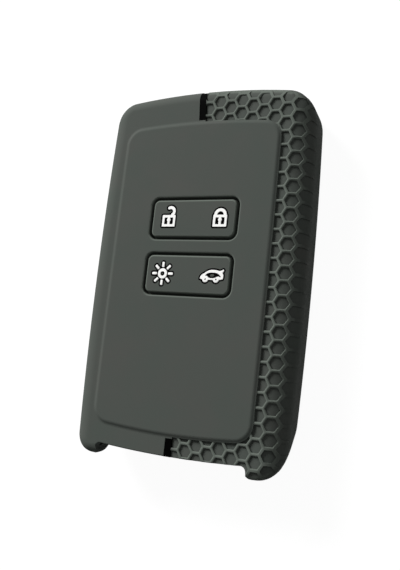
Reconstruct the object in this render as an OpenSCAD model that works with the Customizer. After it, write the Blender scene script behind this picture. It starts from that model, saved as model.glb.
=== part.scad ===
// Silicone cover for a card-shaped car key, lying on its back with the buttons up.
// X runs across the cover, Y runs along it with the closed end at +Y, and Z comes out of the front.
// The origin is the middle of the footprint, and Z is zero on the rim round the back window.

/* [Cover] */
// Length from the closed end to the tips of the ears
cover_l = 82; // [76:0.5:90]
// Width across the middle
cover_w = 50.3; // [46:0.1:56]
// Height from the back rim to the front face, without the raised panel
cover_h = 12.3; // [11:0.1:15]
// How far each long side bulges at its middle
side_bulge = 0.94; // [0.5:0.02:2]
// Radius of the arched closed end
top_arc_r = 155; // [100:5:300]
// Radius of the arched open end
bottom_arc_r = 370; // [200:10:600]
// Corner radius of the outline at the closed end
top_corner_r = 5.6; // [5:0.1:9]
// Corner radius of the outline at the ears
bottom_corner_r = 4.2; // [4:0.1:9]
// How much rounder the corners are at the back than at the front
corner_growth = 2.4; // [0:0.1:3]
// How far each long side leans in from the front to the back
side_lean = 0.6; // [0:0.1:1.5]

/* [Edges] */
// Rounding of the front edge along the long sides
side_round = 4.7; // [3:0.1:5]
// Rounding of the front edge at the closed end
top_round = 3; // [2:0.1:5]
// Rounding of the front edge at the ears
ear_round = 2.2; // [0.8:0.1:2.5]
// Rounding of the back edge
back_round = 2.6; // [1.5:0.1:3]
// Radius that turns the ears back towards the rear bevel
bevel_round = 6; // [3:0.5:9]
// Slope of the bevel behind the ears, in degrees
bevel_angle = 45; // [30:1:55]

/* [Walls] */
// Thickness of the front wall under the comb
front_wall = 1.6; // [1.3:0.1:2.2]
// Thickness of the long side walls
side_wall = 1.6; // [1.2:0.1:2.2]
// Thickness of the wall at the closed end and at the ears
end_wall = 1.8; // [1.2:0.1:2.5]
// Thickness of the rim round the back window
rim_wall = 1.4; // [1:0.1:2]
// Width of that rim, seen from the back
rim_w = 6.4; // [5:0.1:9]
// Corner radius of the back window
window_corner_r = 5; // [2:0.5:8]

/* [Open end] */
// Width of each ear, as far as the notch
ear_w = 7.65; // [6.4:0.05:10]
// How far the front wall stops short of the ears' tips
notch_depth = 2.1; // [1:0.1:4]
// Radius of the arched edge of the front wall there
notch_arc_r = 230; // [150:10:500]
// Radius of the inner corners of the notch
notch_corner_r = 1.1; // [0.5:0.1:1.6]
// Radius of the ears' inner tips
ear_tip_r = 0.9; // [0.4:0.1:1.4]

/* [Panel] */
// Width of the raised panel, from the middle of one sloping edge to the other
panel_w = 37.2; // [34:0.1:39]
// How far the panel stands to the left of the middle
panel_left = 0.28; // [0:0.02:0.5]
// Distance from the closed end to the panel
panel_top_gap = 8.1; // [7:0.05:10]
// Distance from the front wall's edge at the notch to the panel
panel_bottom_gap = 4.2; // [3:0.05:6]
// Height of the panel above the front face
panel_h = 0.4; // [0.3:0.05:0.6]
// Corner radius of the panel
panel_corner_r = 4; // [2.5:0.1:6]
// Width of the panel's soft edge, which turns down and out again into the front face
panel_edge_w = 1.3; // [0.9:0.1:1.6]
// How far each side of the panel bulges at its middle
panel_bulge = 0.2; // [0.1:0.05:0.6]
// Radius of the panel's arched upper edge
panel_top_arc_r = 175; // [100:5:300]
// Radius of the panel's arched lower edge
panel_bottom_arc_r = 160; // [100:5:300]

/* [Honeycomb] */
// Distance between the flat sides of neighbouring cells
comb_pitch = 3; // [2.4:0.1:4]
// Width of the ribs between the cells
comb_rib = 0.4; // [0.3:0.02:0.6]
// Depth of the cells on the front face
comb_depth = 0.45; // [0.3:0.05:0.7]
// Depth of the cells on the sides
comb_side_depth = 0.1; // [0.05:0.01:0.2]
// Depth below the front face at which the cells have become that shallow
comb_turn = 1.8; // [1.2:0.1:3]
// Middle of the first column of cells, to the right of the cover's middle
comb_start = 1; // [0:0.1:3]
// Middle of one cell of that column, above the cover's middle
comb_lift = 0.07; // [-1.5:0.01:1.5]
// Depth below the front face at which the cells have faded out on the sides
comb_reach = 5.6; // [3:0.1:7]

/* [Stripe] */
// Width of the black stripe between the smooth and the honeycomb half
stripe_w = 1.6; // [1:0.05:2.5]
// Middle of the upper stripe where it leaves the panel, to the left of the cover's middle
top_stripe_left = 0.3; // [0:0.05:1]
// Angle at which the upper stripe leans to the left, in degrees
top_stripe_lean = 5; // [0:0.5:10]
// Middle of the lower stripe, to the right of the cover's middle
bottom_stripe_right = 0.15; // [0:0.05:0.8]
// Thickness of the stripe's black filling
stripe_t = 0.5; // [0.3:0.05:0.8]
// How deep the filling lies below the front face
stripe_sink = 0.15; // [0.1:0.05:0.3]
// How far the upper stripe runs down the closed end from the front face
stripe_reach = 7; // [4:0.5:9]

/* [Buttons] */
// Width of the opening round each button pad
opening_w = 21.1; // [18:0.1:23]
// Height of that opening
opening_h = 9.4; // [8:0.1:11]
// Corner radius of that opening
opening_corner_r = 1.9; // [1.8:0.1:3]
// Groove between the opening and the pad
groove_w = 0.6; // [0.4:0.05:0.8]
// Middle of the pads, to the right of the cover's middle
pads_right = 0.25; // [0:0.01:2]
// Middle of the upper pad, above the cover's middle
pads_up = 11.3; // [8:0.01:14]
// Distance from the upper pad to the lower one, middle to middle
pads_pitch = 12.26; // [11.5:0.01:14]
// Rounding of each pad's upper edge
pad_round = 0.35; // [0.1:0.05:0.6]
// Thickness of the soft web that lets a pad sink
web_t = 0.5; // [0.3:0.05:0.8]
// Running gap between the web and the pad
web_gap = 0.1; // [0.05:0.01:0.15]

/* [Pictograms] */
// Distance from the middle of a pad to the open padlock and the lamp on its left
left_icon_offset = 5.8; // [5:0.05:6.5]
// Distance from the middle of the upper pad to the closed padlock
lock_offset = 6.4; // [5:0.05:6.6]
// Distance from the middle of the lower pad to the car
boot_offset = 5.9; // [5:0.05:6.2]
// Depth of the recess that holds the pictogram
icon_depth = 0.35; // [0.25:0.05:0.5]
// Dark gap between a pictogram and its recess
icon_gap = 0.22; // [0.15:0.01:0.3]
// Width of the padlock's body
lock_w = 3.2; // [2.7:0.1:3.6]
// Height of the padlock's body
lock_h = 2.6; // [2.2:0.1:3]
// Thickness of the padlock's frame and shackle
lock_stroke = 0.68; // [0.5:0.02:0.7]
// Height of the shackle above the body
shackle_h = 1.6; // [1.6:0.05:2]
// How much higher the open shackle stands
shackle_lift = 0.55; // [0:0.05:1]
// Width of the keyhole's bar
keyhole_w = 0.74; // [0.5:0.02:0.9]
// Outer radius of the lamp's ring
lamp_r = 1.13; // [0.9:0.01:1.3]
// Radius of the hole in the lamp's ring
lamp_hole_r = 0.5; // [0.4:0.05:0.7]
// Distance from the lamp's middle to the tips of its rays
ray_reach = 2.55; // [2.2:0.05:3]
// Gap between the ring and the rays
ray_gap = 0.25; // [0.15:0.05:0.4]
// Width of a ray
ray_w = 0.56; // [0.3:0.02:0.6]
// Number of rays
ray_count = 8; // [6:1:12]
// Length of the car
car_l = 5.4; // [4.4:0.1:6]
// Height of the car's roof above its axles
car_h = 2.05; // [1.7:0.05:2.4]
// How far the car stands below the middle of its press zone
car_drop = 0.2; // [0:0.05:0.5]
// Radius of a wheel
wheel_r = 0.68; // [0.5:0.02:0.8]
// Radius of a wheel's hub hole
hub_r = 0.16; // [0.1:0.01:0.2]

/* [Hidden] */

// Directions of a press zone from its pad's middle
LEFT = -1;
RIGHT = 1;

// Overrun of every cut past the surface that it leaves through
overrun = 1;
// Thickness of the thin slices that a hull joins
slice_t = 0.01;
// Smallest corner radius that an inner ring keeps
least_corner_r = 0.8;

// Steps along the stretches of an outline, for half of it
arc_steps = 3;
corner_steps = 6;
side_steps = 8;
// Angle between two rings round the front edge and round the back edge
front_step = 15;
back_step = 22.5;
// Rings between those edges
mid_rings = 4;

half_w = cover_w / 2;
half_l = cover_l / 2;
total_h = cover_h + panel_h;

// The ears' tips lie on the bottom arc, just outside the notch
notch_w = cover_w - 2 * ear_w;
ear_x = notch_w / 2 + ear_tip_r;
ear_fall = bottom_arc_r - sqrt(pow(bottom_arc_r, 2) - pow(ear_x, 2));
bottom_y = -half_l - ear_fall;
notch_y = -half_l + notch_depth;

// An outline is given by its half width, top, bottom, bulge, two arc radii and two corner radii
cover_line = [half_w, half_l, bottom_y, side_bulge, top_arc_r, bottom_arc_r,
              top_corner_r, bottom_corner_r];
panel_line = [panel_w / 2, half_l - panel_top_gap, notch_y + panel_bottom_gap, panel_bulge,
              panel_top_arc_r, panel_bottom_arc_r, panel_corner_r, panel_corner_r];

// The pads and their press zones
pad_w = opening_w - 2 * groove_w;
pad_h = opening_h - 2 * groove_w;
pad_corner_r = opening_corner_r - groove_w;
pad_floor = cover_h - front_wall;
upper_pad_y = pads_up;
lower_pad_y = pads_up - pads_pitch;

// The panel's edge is a round of this radius and turn, and a hollow of the same size below it
panel_turn = 2 * atan(panel_h / panel_edge_w);
panel_edge_r = panel_edge_w / 2 / sin(panel_turn);
// The panel's edge meets the front face here
panel_foot_top = panel_line[1] + panel_edge_w / 2;
panel_foot_bottom = panel_line[2] - panel_edge_w / 2;

// The closed shackle is nearly as wide as the padlock's body, and the open one is narrower
shackle_inset = 0.08;
closed_shackle_r = lock_w / 2 - shackle_inset;
open_shackle_r = closed_shackle_r - lock_stroke / 2;
lock_base_y = -(lock_h + shackle_h) / 2;
lock_top_y = lock_base_y + lock_h;
// The open shackle ends a little past its top
open_angle = 125;
HALF_TURN = 180;
arch_steps = 12;
// The car's axles, below the middle of its press zone, and their places along the car
axle_y = -(car_h - wheel_r) / 2 - car_drop;
front_wheel_share = -0.26;
rear_wheel_share = 0.19;

// The honeycomb's grid, with flat sides at the top and bottom of each cell
cell_r = (comb_pitch - comb_rib) / sqrt(3);
column_step = comb_pitch * sqrt(3) / 2;
column_count = ceil((half_w - comb_start) / column_step) + 1;
row_count = ceil(half_l / comb_pitch) + 1;
hexagon = 6;

// Sides of a full turn in round corners, in arches and in small circles
round_sides = 32;
arch_sides = 720;
dot_sides = 24;
// Below the comb its floor form stands proud of the sides by this share of the cells' depth there
proud_share = -0.5;
// Steps round each half of the panel's edge
panel_steps = 3;

// Distance that a rounded edge stands in from its wall at a given depth below its face
function rounded_in(r, depth) =
    depth >= r ? 0 : r - sqrt(pow(r, 2) - pow(r - depth, 2));

// Distance that the ears' lower face stands in at a given depth, through the round and the bevel
function bevel_in(depth) =
    let (down = max(depth - ear_round, 0),
         round_depth = bevel_round * sin(bevel_angle),
         round_rise = bevel_round * (1 - cos(bevel_angle)))
    down < round_depth
        ? bevel_round - sqrt(pow(bevel_round, 2) - pow(down, 2))
        : round_rise + (down - round_depth) * tan(bevel_angle);

// Point at distance ra from a and rb from b, on the side that turn gives
function meeting(a, ra, b, rb, turn) =
    let (gap = norm(b - a),
         along = (b - a) / gap,
         reach = (pow(ra, 2) - pow(rb, 2) + pow(gap, 2)) / (2 * gap),
         rise = sqrt(pow(ra, 2) - pow(reach, 2)))
    a + along * reach + [-along.y, along.x] * rise * turn;

function angle_of(v) = atan2(v.y, v.x);

// Points on an arc without its last one
function arc_points(centre, r, from, to, steps) =
    [for (i = [0 : steps - 1])
        let (a = from + (to - from) * i / steps)
        centre + r * [cos(a), sin(a)]];

// Closed outline of four arcs and four round corners, moved in at its sides, top and bottom
function outline(line, side_in, top_in, bottom_in, top_r, bottom_r) =
    let (mid_y = (line[1] + line[2]) / 2,
         half_span = (line[1] - line[2]) / 2,
         side_r = (pow(half_span, 2) + pow(line[3], 2)) / (2 * line[3]),
         side_c = [line[0] - side_r, mid_y],
         top_c = [0, line[1] - line[4]],
         bottom_c = [0, line[2] + line[5]],
         top_corner = meeting(side_c, side_r - side_in - top_r,
                              top_c, line[4] - top_in - top_r, 1),
         bottom_corner = meeting(side_c, side_r - side_in - bottom_r,
                                 bottom_c, line[5] - bottom_in - bottom_r, -1),
         low = angle_of(bottom_corner - bottom_c),
         side_low = angle_of(bottom_corner - side_c),
         side_high = angle_of(top_corner - side_c),
         high = angle_of(top_corner - top_c),
         right_half = concat(
             arc_points(bottom_c, line[5] - bottom_in, -90, low, arc_steps),
             arc_points(bottom_corner, bottom_r, low, side_low, corner_steps),
             arc_points(side_c, side_r - side_in, side_low, side_high, side_steps),
             arc_points(top_corner, top_r, side_high, high, corner_steps),
             arc_points(top_c, line[4] - top_in, high, 90, arc_steps),
             [[0, line[1] - top_in]]))
    concat(right_half,
           [for (i = [len(right_half) - 2 : -1 : 1]) [-right_half[i].x, right_half[i].y]]);

// Outline of the cover, or of its inside, at a depth below the front face.
// The inside has its own front face, walls and back face, and its edges are rounded to suit.
function cover_ring(depth, face = 0, side_off = 0, end_off = 0, back_off = 0) =
    let (down = depth - face,
         up = cover_h - back_off - depth,
         back = rounded_in(back_round - side_off, up),
         side_edge = rounded_in(side_round - side_off, down) + back,
         top_edge = rounded_in(top_round - end_off, down) + back,
         ear_edge = rounded_in(ear_round - end_off, down),
         growth = corner_growth * depth / cover_h,
         top_r = top_corner_r + growth - side_off - (side_edge + top_edge) / 2,
         bottom_r = bottom_corner_r + growth - side_off - (side_edge + ear_edge) / 2)
    outline(cover_line,
            side_edge + side_lean * depth / cover_h + side_off,
            top_edge + end_off,
            ear_edge + bevel_in(depth) + end_off,
            max(top_r, least_corner_r),
            max(bottom_r, least_corner_r));

// Depths of the rings between a front and a back face, close together where the edges turn
function ring_depths(face, front_r, last, back_r) =
    concat([for (a = [0 : front_step : 90]) face + front_r * (1 - cos(a))],
           [for (i = [1 : mid_rings - 1])
               face + front_r + (last - back_r - face - front_r) * i / mid_rings],
           [for (a = [0 : back_step : 90]) last - back_r * (1 - sin(a))]);

// Solid through a list of outlines with the same number of points, from the top one down
module loft(rings, heights) {
    n = len(rings[0]);
    last = len(rings) - 1;
    points = [for (k = [0 : last], p = rings[k]) [p.x, p.y, heights[k]]];
    walls = [for (k = [0 : last - 1], i = [0 : n - 1])
        let (j = (i + 1) % n, a = k * n, b = a + n)
        each [[a + i, a + j, b + j], [a + i, b + j, b + i]]];
    front_face = [for (i = [n - 1 : -1 : 0]) i];
    back_face = [for (i = [0 : n - 1]) last * n + i];
    polyhedron(points, concat(walls, [front_face, back_face]), convexity = 4);
}

// Outside of the cover, or the same form moved in by the depth of a recess
module cover_form(skin = 0) {
    depths = ring_depths(skin, side_round - skin, cover_h, back_round);
    loft([for (d = depths) cover_ring(d, skin, skin, skin)], [for (d = depths) cover_h - d]);
}

// Space for the key inside
module key_pocket() {
    depths = ring_depths(front_wall, side_round - side_wall, cover_h - rim_wall,
                         back_round - side_wall);
    loft([for (d = depths) cover_ring(d, front_wall, side_wall, end_wall, rim_wall)],
         [for (d = depths) cover_h - d]);
}

// Rounded rectangle about the middle
module rounded_rect(w, h, r) {
    offset(r = r, $fn = round_sides) square([w - 2 * r, h - 2 * r], center = true);
}

// Opening in the back that the key is pushed in through, running out between the ears
module back_window() {
    window_w = cover_w - 2 * rim_w;
    window_top = half_l - rim_w;
    window_l = window_top - bottom_y + overrun + window_corner_r;
    translate([0, window_top - window_l / 2, -overrun])
        linear_extrude(rim_wall + 2 * overrun)
            rounded_rect(window_w, window_l, window_corner_r);
}

// Plan of the notch between the ears, with rounded inner corners and rounded ear tips
module notch_plan() {
    offset(r = -ear_tip_r, $fn = round_sides)
        offset(delta = ear_tip_r) {
            offset(r = notch_corner_r, $fn = round_sides)
                offset(delta = -notch_corner_r)
                    difference() {
                        translate([-notch_w / 2, bottom_y - cover_h])
                            square([notch_w, notch_y - bottom_y + cover_h + overrun]);
                        translate([0, notch_y + notch_arc_r])
                            circle(r = notch_arc_r, $fn = arch_sides);
                    }
            translate([-cover_w, bottom_y - cover_h])
                square([2 * cover_w, cover_h - half_l - bottom_y]);
        }
}

// Gap between the ears, and the mouth behind it that the end of the key shows through
module open_end() {
    mouth_top = bottom_y + bevel_in(cover_h) + end_wall + overrun;
    translate([0, 0, -overrun]) linear_extrude(total_h + 2 * overrun) notch_plan();
    translate([-notch_w / 2, bottom_y - overrun, -overrun])
        cube([notch_w, mouth_top - bottom_y + overrun, pad_floor + overrun]);
}

// Raised panel that carries the buttons. Its edge turns down and then out into the front face.
module panel_form() {
    turns = [for (i = [0 : panel_steps]) panel_turn * i / panel_steps];
    back_turns = [for (i = [panel_steps - 1 : -1 : 0]) turns[i]];
    edges = concat(
        [for (a = turns) [panel_edge_w / 2 - panel_edge_r * sin(a),
                          total_h - panel_edge_r * (1 - cos(a))]],
        [for (a = back_turns) [panel_edge_r * sin(a) - panel_edge_w / 2,
                               cover_h + panel_edge_r * (1 - cos(a))]],
        [[-panel_edge_w / 2, cover_h - stripe_sink - stripe_t]]);
    translate([-panel_left, 0, 0])
        loft([for (e = edges)
                 outline(panel_line, e[0], e[0], e[0], panel_corner_r - e[0],
                         panel_corner_r - e[0])],
             [for (e = edges) e[1]]);
}

// Six-sided cells of the comb, without those that the panel hides
module comb_cells() {
    hidden_x = panel_line[0] - panel_left - cell_r;
    hidden_top = panel_line[1] - comb_pitch;
    hidden_bottom = panel_line[2] + comb_pitch;
    for (i = [0 : column_count], k = [-row_count : row_count]) {
        x = comb_start + i * column_step;
        y = comb_lift + (k + (i % 2) / 2) * comb_pitch;
        hidden = x < hidden_x && y < hidden_top && y > hidden_bottom;
        if (!hidden && abs(y) < half_l + comb_pitch)
            translate([x, y, cover_h - comb_reach])
                cylinder(r = cell_r, h = comb_reach + overrun, $fn = hexagon);
    }
}

// Share of the cells' full depth at a depth below the front face
function sunk_share(depth) =
    let (side_share = comb_side_depth / comb_depth,
         turned = cos(HALF_TURN * min(depth / comb_turn, 1)),
         fading = max(1 - pow(depth / comb_reach, 2), proud_share))
    side_share * fading + (1 - side_share) * (1 + turned) / 2;

// Floors of the cells, which follow the rounded edges and come up to the surface on the sides
module comb_floor() {
    depths = ring_depths(comb_depth, side_round - comb_depth, cover_h, back_round);
    loft([for (d = depths)
             let (flush = cover_ring(d),
                  sunk = cover_ring(d, comb_depth, comb_depth, comb_depth))
             [for (i = [0 : len(flush) - 1]) flush[i] + (sunk[i] - flush[i]) * sunk_share(d)]],
         [for (d = depths) cover_h - d]);
}

// Middle of the stripe at a place along the cover
function stripe_x(y) =
    y > 0 ? -top_stripe_left - (y - panel_line[1]) * tan(top_stripe_lean) : bottom_stripe_right;

// Plan of the half with the comb, to the right of the stripe
module comb_side_plan() {
    ends = [-half_l - overrun, 0, panel_line[1], half_l + overrun];
    border = [for (y = ends) [stripe_x(y > 0 ? y : -half_l) + stripe_w / 2, y]];
    polygon(concat(border, [[cover_w, half_l + overrun], [cover_w, -half_l - overrun]]));
}

// Cut for the comb
module comb_cut() {
    difference() {
        intersection() {
            comb_cells();
            linear_extrude(2 * total_h) comb_side_plan();
        }
        comb_floor();
    }
}

// Slab as wide as the stripe, between two places along the cover, reaching down from its front
module stripe_slab(y0, y1, reach) {
    side = stripe_w / 2;
    translate([0, 0, cover_h - reach])
        linear_extrude(reach + overrun)
            polygon([[stripe_x(y0) - side, y0], [stripe_x(y0) + side, y0],
                     [stripe_x(y1) + side, y1], [stripe_x(y1) - side, y1]]);
}

// Places what is drawn about the middle of one pad
module at_pad(y, z) {
    translate([pads_right, y, z]) children();
}

// Half of the plan of a pad, to the left or to the right of its middle
module pad_half_plan(side) {
    translate([side * opening_w / 2, 0]) square([opening_w, 2 * opening_h], center = true);
}

module cover_shell() {
    color([0.31, 0.33, 0.31])
        difference() {
            union() {
                difference() {
                    cover_form();
                    comb_cut();
                    difference() {
                        stripe_slab(panel_line[1], half_l + overrun, stripe_reach);
                        cover_form(stripe_sink + stripe_t);
                    }
                    stripe_slab(bottom_y, panel_line[2], stripe_sink + stripe_t);
                }
                panel_form();
            }
            key_pocket();
            back_window();
            open_end();
            for (y = [upper_pad_y, lower_pad_y])
                at_pad(y, pad_floor - overrun)
                    linear_extrude(front_wall + panel_h + 2 * overrun)
                        rounded_rect(opening_w, opening_h, opening_corner_r);
        }
}

// Black filling that runs from the panel over the closed end
module top_stripe() {
    color("black")
        intersection() {
            difference() {
                cover_form(stripe_sink);
                cover_form(stripe_sink + stripe_t);
            }
            stripe_slab(panel_foot_top, half_l + overrun, stripe_reach);
        }
}

// Black filling between the panel and the notch
module bottom_stripe() {
    color("black")
        translate([bottom_stripe_right - stripe_w / 2, notch_y, cover_h - stripe_sink - stripe_t])
            cube([stripe_w, panel_foot_bottom - notch_y, stripe_t]);
}

// Thin web that joins one press zone to the cover at the bottom of the groove
module web(y, side) {
    color([0.2, 0.21, 0.2])
        at_pad(y, pad_floor)
            linear_extrude(web_t)
                intersection() {
                    difference() {
                        rounded_rect(opening_w, opening_h, opening_corner_r);
                        rounded_rect(pad_w + 2 * web_gap, pad_h + 2 * web_gap,
                                     pad_corner_r + web_gap);
                    }
                    pad_half_plan(side);
                }
}

// Whole pad with its upper edge rounded, about its own middle
module pad_form() {
    hull() {
        linear_extrude(slice_t) rounded_rect(pad_w, pad_h, pad_corner_r);
        for (a = [0 : back_step : 90]) {
            edge = pad_round * (1 - sin(a));
            translate([0, 0, total_h - pad_floor - slice_t - pad_round * (1 - cos(a))])
                linear_extrude(slice_t)
                    rounded_rect(pad_w - 2 * edge, pad_h - 2 * edge, pad_corner_r - edge);
        }
    }
}

// Places a pictogram's outline at a distance to one side of a pad's middle
module at_icon(y, side, far) {
    at_pad(y, total_h - icon_depth) translate([side * far, 0]) children();
}

// Press zone on one side of a pad, with a recess round the pictogram that is drawn in it
module button(y, side, far) {
    color([0.33, 0.35, 0.33])
        difference() {
            at_pad(y, pad_floor)
                intersection() {
                    pad_form();
                    translate([0, 0, -overrun])
                        linear_extrude(total_h - pad_floor + 2 * overrun) pad_half_plan(side);
                }
            at_icon(y, side, far)
                linear_extrude(icon_depth + overrun)
                    offset(r = icon_gap, $fn = dot_sides) children();
        }
}

// White pictogram that stands in the recess of its press zone
module icon(y, side, far) {
    color("white") at_icon(y, side, far) linear_extrude(icon_depth) children();
}

// Body of the padlock, with a window on each side of its keyhole
module lock_body_plan() {
    window_w = lock_w - 2 * lock_stroke;
    window_h = lock_h - 2 * lock_stroke;
    translate([0, lock_base_y]) {
        difference() {
            translate([-lock_w / 2, 0]) square([lock_w, lock_h]);
            translate([-window_w / 2, lock_stroke]) square([window_w, window_h]);
        }
        translate([-keyhole_w / 2, 0]) square([keyhole_w, lock_h]);
    }
}

// Shackle about the middle of its arch: a leg on the right, then an arch up to an angle.
// A closed shackle has a second leg, and an open one ends round.
module shackle_plan(r, leg, to, closed) {
    in_r = r - lock_stroke;
    steps = [for (i = [0 : arch_steps]) to * i / arch_steps];
    outer = [for (a = steps) r * [cos(a), sin(a)]];
    inner = [for (i = [arch_steps : -1 : 0]) in_r * [cos(steps[i]), sin(steps[i])]];
    polygon(concat([[r, -leg]], outer, closed ? [[-r, -leg], [-in_r, -leg]] : [],
                   inner, [[in_r, -leg]]));
    if (!closed)
        rotate(to) translate([(r + in_r) / 2, 0]) circle(d = lock_stroke, $fn = dot_sides);
}

module unlock_plan() {
    leg = shackle_h + shackle_lift - open_shackle_r;
    lock_body_plan();
    translate([lock_w / 2 - open_shackle_r, lock_top_y + leg])
        shackle_plan(open_shackle_r, leg + lock_stroke / 2, open_angle, false);
}

module lock_plan() {
    leg = shackle_h - closed_shackle_r;
    lock_body_plan();
    translate([0, lock_top_y + leg])
        shackle_plan(closed_shackle_r, leg + lock_stroke / 2, HALF_TURN, true);
}

// Lamp with a ring and loose rays
module lights_plan() {
    ray_start = lamp_r + ray_gap;
    difference() {
        circle(r = lamp_r, $fn = dot_sides);
        circle(r = lamp_hole_r, $fn = dot_sides);
    }
    for (i = [0 : ray_count - 1])
        rotate(i * 360 / ray_count)
            translate([ray_start, -ray_w / 2]) square([ray_reach - ray_start, ray_w]);
}

// Side view of a car with its boot lid up, drawn from shares of its length and height
module boot_plan() {
    body_shares = [[-0.48, -0.06], [-0.49, 0.2], [-0.42, 0.48], [-0.3, 0.64], [-0.18, 0.9],
                   [0, 1], [0.21, 0.96], [0.31, 0.86], [0.41, 0.94], [0.46, 1.06], [0.5, 0.98],
                   [0.49, 0.85], [0.43, 0.68], [0.48, 0.56], [0.49, 0.2], [0.45, -0.06]];
    window_shares = [[-0.22, 0.38], [-0.1, 0.6], [0.19, 0.6], [0.3, 0.46], [0.37, 0.24],
                     [0.25, 0.32], [0.13, 0.14], [-0.13, 0.14]];
    car = [car_l, car_h];
    wheel_x = [car_l * front_wheel_share, car_l * rear_wheel_share];
    translate([0, axle_y])
        difference() {
            union() {
                polygon([for (p = body_shares) [p.x * car.x, p.y * car.y]]);
                for (x = wheel_x) translate([x, 0]) circle(r = wheel_r, $fn = dot_sides);
            }
            polygon([for (p = window_shares) [p.x * car.x, p.y * car.y]]);
            for (x = wheel_x) translate([x, 0]) circle(r = hub_r, $fn = dot_sides);
        }
}

module unlock_web() web(upper_pad_y, LEFT);
module lock_web() web(upper_pad_y, RIGHT);
module lights_web() web(lower_pad_y, LEFT);
module boot_web() web(lower_pad_y, RIGHT);

module unlock_button() button(upper_pad_y, LEFT, left_icon_offset) unlock_plan();
module lock_button() button(upper_pad_y, RIGHT, lock_offset) lock_plan();
module lights_button() button(lower_pad_y, LEFT, left_icon_offset) lights_plan();
module boot_button() button(lower_pad_y, RIGHT, boot_offset) boot_plan();

module unlock_icon() icon(upper_pad_y, LEFT, left_icon_offset) unlock_plan();
module lock_icon() icon(upper_pad_y, RIGHT, lock_offset) lock_plan();
module lights_icon() icon(lower_pad_y, LEFT, left_icon_offset) lights_plan();
module boot_icon() icon(lower_pad_y, RIGHT, boot_offset) boot_plan();

cover_shell();
top_stripe();
bottom_stripe();
unlock_web();
lock_web();
lights_web();
boot_web();
unlock_button();
lock_button();
lights_button();
boot_button();
unlock_icon();
lock_icon();
lights_icon();
boot_icon();
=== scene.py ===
# Soft silicone cover for a card-shaped car key, lying on its back with its buttons up.
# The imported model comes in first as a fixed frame, and each piece is then made in that frame.
import math

import bmesh
import bpy
import numpy as np
from mathutils import Matrix, Vector
from mathutils.bvhtree import BVHTree


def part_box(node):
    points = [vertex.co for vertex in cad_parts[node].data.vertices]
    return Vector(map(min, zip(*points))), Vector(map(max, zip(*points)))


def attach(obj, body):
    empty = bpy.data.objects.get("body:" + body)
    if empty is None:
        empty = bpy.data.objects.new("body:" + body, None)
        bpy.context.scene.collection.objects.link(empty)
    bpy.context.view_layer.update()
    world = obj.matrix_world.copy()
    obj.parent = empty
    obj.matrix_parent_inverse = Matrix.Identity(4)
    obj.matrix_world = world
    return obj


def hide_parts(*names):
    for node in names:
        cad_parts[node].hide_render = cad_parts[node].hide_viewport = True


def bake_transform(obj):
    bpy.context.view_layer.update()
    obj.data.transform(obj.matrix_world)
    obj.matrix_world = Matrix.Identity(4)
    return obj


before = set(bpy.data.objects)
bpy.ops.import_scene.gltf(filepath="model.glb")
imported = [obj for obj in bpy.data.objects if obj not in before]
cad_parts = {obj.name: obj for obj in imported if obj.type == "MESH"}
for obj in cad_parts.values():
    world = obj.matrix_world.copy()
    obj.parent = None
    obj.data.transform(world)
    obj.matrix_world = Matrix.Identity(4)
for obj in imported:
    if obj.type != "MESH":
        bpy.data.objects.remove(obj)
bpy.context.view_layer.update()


# Silicone moulding
# The cover is one soft shell of matte silicone, pressed in a steel mould: a thin front wall, side
# walls that roll over its front edge, two ears at the open end and a rim round the back window.
# Sizes are in millimetres, and the length and the heights come from the frame.
MM = 0.001
_, shell_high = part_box("cover_shell")
HALF_LENGTH = shell_high.y / MM
TOTAL_HEIGHT = shell_high.z / MM
PANEL_HEIGHT = 0.4
COVER_HEIGHT = TOTAL_HEIGHT - PANEL_HEIGHT

# Outline of the front: how far the long sides bow out, and the radii of its arcs and corners
HALF_WIDTH = 25.15
SIDE_BULGE = 0.94
TOP_ARC_R = 155.0
BOTTOM_ARC_R = 370.0
TOP_CORNER_R = 5.6
BOTTOM_CORNER_R = 4.2
LEAST_CORNER_R = 0.8

# Towards the back the corners grow and the sides lean in
CORNER_GROWTH = 2.4
SIDE_LEAN = 0.6

# Radii of the edges, and the bevel that runs under the ears
SIDE_ROUND = 4.7
TOP_ROUND = 3.0
EAR_ROUND = 2.2
BACK_ROUND = 2.6
BEVEL_ROUND = 8.0
BEVEL_ANGLE = math.radians(50)

# Ears, and how far the front wall ends short of their tips
EAR_WIDTH = 7.65
EAR_TIP_R = 0.9
NOTCH_DEPTH = 1.9

# Steps along half of the outline, and between the rings from the front to the back
ARC_STEPS = 6
CORNER_STEPS = 12
SIDE_STEPS = 20
FRONT_RINGS = 12
MID_RINGS = 6
BACK_RINGS = 8

notch_half = HALF_WIDTH - EAR_WIDTH
notch_y = -HALF_LENGTH + NOTCH_DEPTH
ear_x = notch_half + EAR_TIP_R
bottom_y = -HALF_LENGTH - BOTTOM_ARC_R + math.sqrt(BOTTOM_ARC_R**2 - ear_x**2)
cover_line = (HALF_WIDTH, HALF_LENGTH, bottom_y, SIDE_BULGE, TOP_ARC_R, BOTTOM_ARC_R)


def piece_from(name, points, faces):
    """A mesh object from points in millimetres, with its faces turned outward."""
    mesh = bpy.data.meshes.new(name)
    mesh.from_pydata([tuple(np.array(p) * MM) for p in points], [], faces)
    shape = bmesh.new()
    shape.from_mesh(mesh)
    bmesh.ops.recalc_face_normals(shape, faces=shape.faces)
    shape.to_mesh(mesh)
    shape.free()
    obj = bpy.data.objects.new(name, mesh)
    bpy.context.scene.collection.objects.link(obj)
    return obj


def ring_faces(start, levels, count):
    """Faces of a closed solid whose points lie in rings, one ring after another."""
    last = start + (levels - 1) * count
    faces = [tuple(range(start, start + count)), tuple(range(last, last + count))]
    for level in range(levels - 1):
        for i in range(count):
            here = start + level * count + i
            beside = start + level * count + (i + 1) % count
            faces.append((here, beside, beside + count, here + count))
    return faces


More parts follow.
